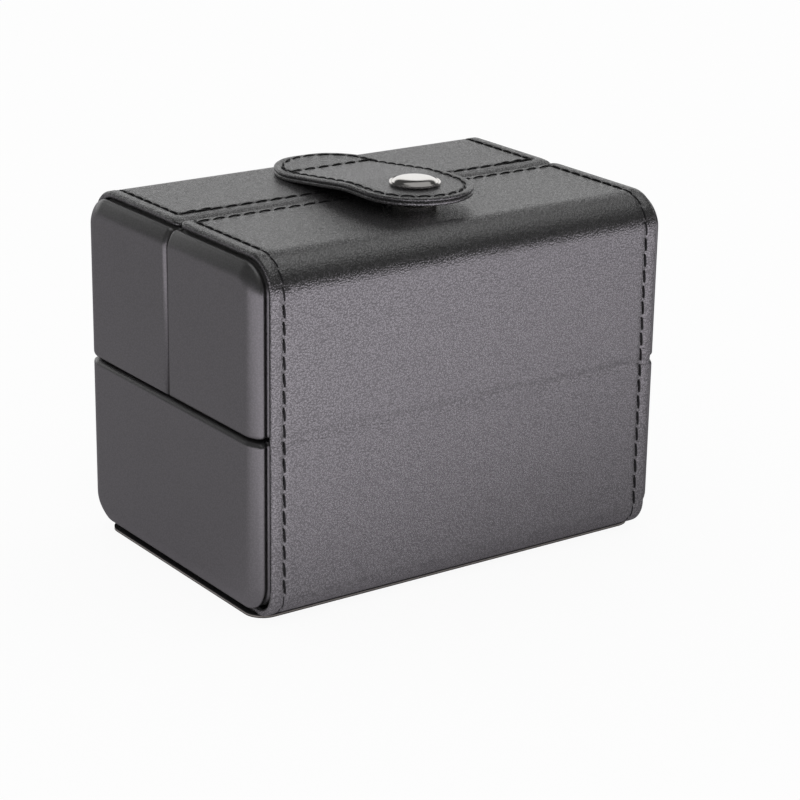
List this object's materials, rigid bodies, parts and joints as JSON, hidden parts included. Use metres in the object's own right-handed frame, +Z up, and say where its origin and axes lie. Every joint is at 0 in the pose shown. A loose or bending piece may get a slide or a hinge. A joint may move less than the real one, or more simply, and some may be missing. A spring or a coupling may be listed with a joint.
{
  "type": "double watch box",
  "caption": "Leather-covered watch box for two: a base with two pillows and a divider, and a pair of half lids that fold open from a centre seam, held by a snap strap.",
  "frame": {"origin": "the table plane under the middle of the closed box", "axes": "+X along the box's length, +Y from the front face to the back face, +Z up"},
  "size_m": [0.095, 0.065, 0.0752],
  "materials": {
    "leather": "fine pebbled grain, satin",
    "smooth_leather": "soft, nearly smooth, satin",
    "velvet": "short velvet pile",
    "pillow_velvet": "short velvet pile",
    "board": "grey board",
    "foam": "soft foam",
    "sheet": "thin, pale at the cut edge",
    "polished_metal": "polished nickel plate"
  },
  "bodies": {
    "base": {"base_cover": "leather", "bottom_sheet": "sheet", "base_skin": "smooth_leather", "base_pad_left": "foam", "base_pad_right": "foam", "base_board": "board", "base_lining": "velvet", "divider": "velvet"},
    "left_pillow": {"pillow_left": "pillow_velvet"},
    "right_pillow": {"pillow_right": "pillow_velvet"},
    "front_lid": {"front_lid_cover": "leather", "front_lid_skin": "smooth_leather", "front_lid_pad_left": "foam", "front_lid_pad_right": "foam", "front_lid_board": "board", "front_lid_lining": "velvet", "snap_stud": "polished_metal", "snap_rivet": "polished_metal"},
    "rear_lid": {"rear_lid_cover": "leather", "rear_lid_skin": "smooth_leather", "rear_lid_pad_left": "foam", "rear_lid_pad_right": "foam", "rear_lid_board": "board", "rear_lid_lining": "velvet", "strap_end_leather": "leather", "strap_end_backing": "leather"},
    "strap": {"strap_leather": "leather", "strap_backing": "leather", "snap_cap": "polished_metal", "snap_socket": "polished_metal", "snap_spring": "polished_metal"}
  },
  "joints": [
    {"name": "rear_lid_hinge", "type": "hinge", "parent": "base", "child": "rear_lid", "pos_m": [0, 0.0325, 0.036], "axis": [-1, 0, 0], "range_deg": [0, 110]},
    {"name": "front_lid_hinge", "type": "hinge", "parent": "base", "child": "front_lid", "pos_m": [0, -0.0325, 0.036], "axis": [1, 0, 0], "range_deg": [0, 110]},
    {"name": "strap_flex", "type": "hinge", "parent": "rear_lid", "child": "strap", "pos_m": [0, 0.016, 0.0716], "axis": [-1, 0, 0], "range_deg": [0, 110]},
    {"name": "left_pillow_lift", "type": "slide", "parent": "base", "child": "left_pillow", "axis": [0, 0, 1], "range_m": [0, 0.015]},
    {"name": "right_pillow_lift", "type": "slide", "parent": "base", "child": "right_pillow", "axis": [0, 0, 1], "range_m": [0, 0.015]}
  ],
  "couplings": [
    {"joint": "front_lid_hinge", "follows": "rear_lid_hinge", "ratio": 1}
  ]
}
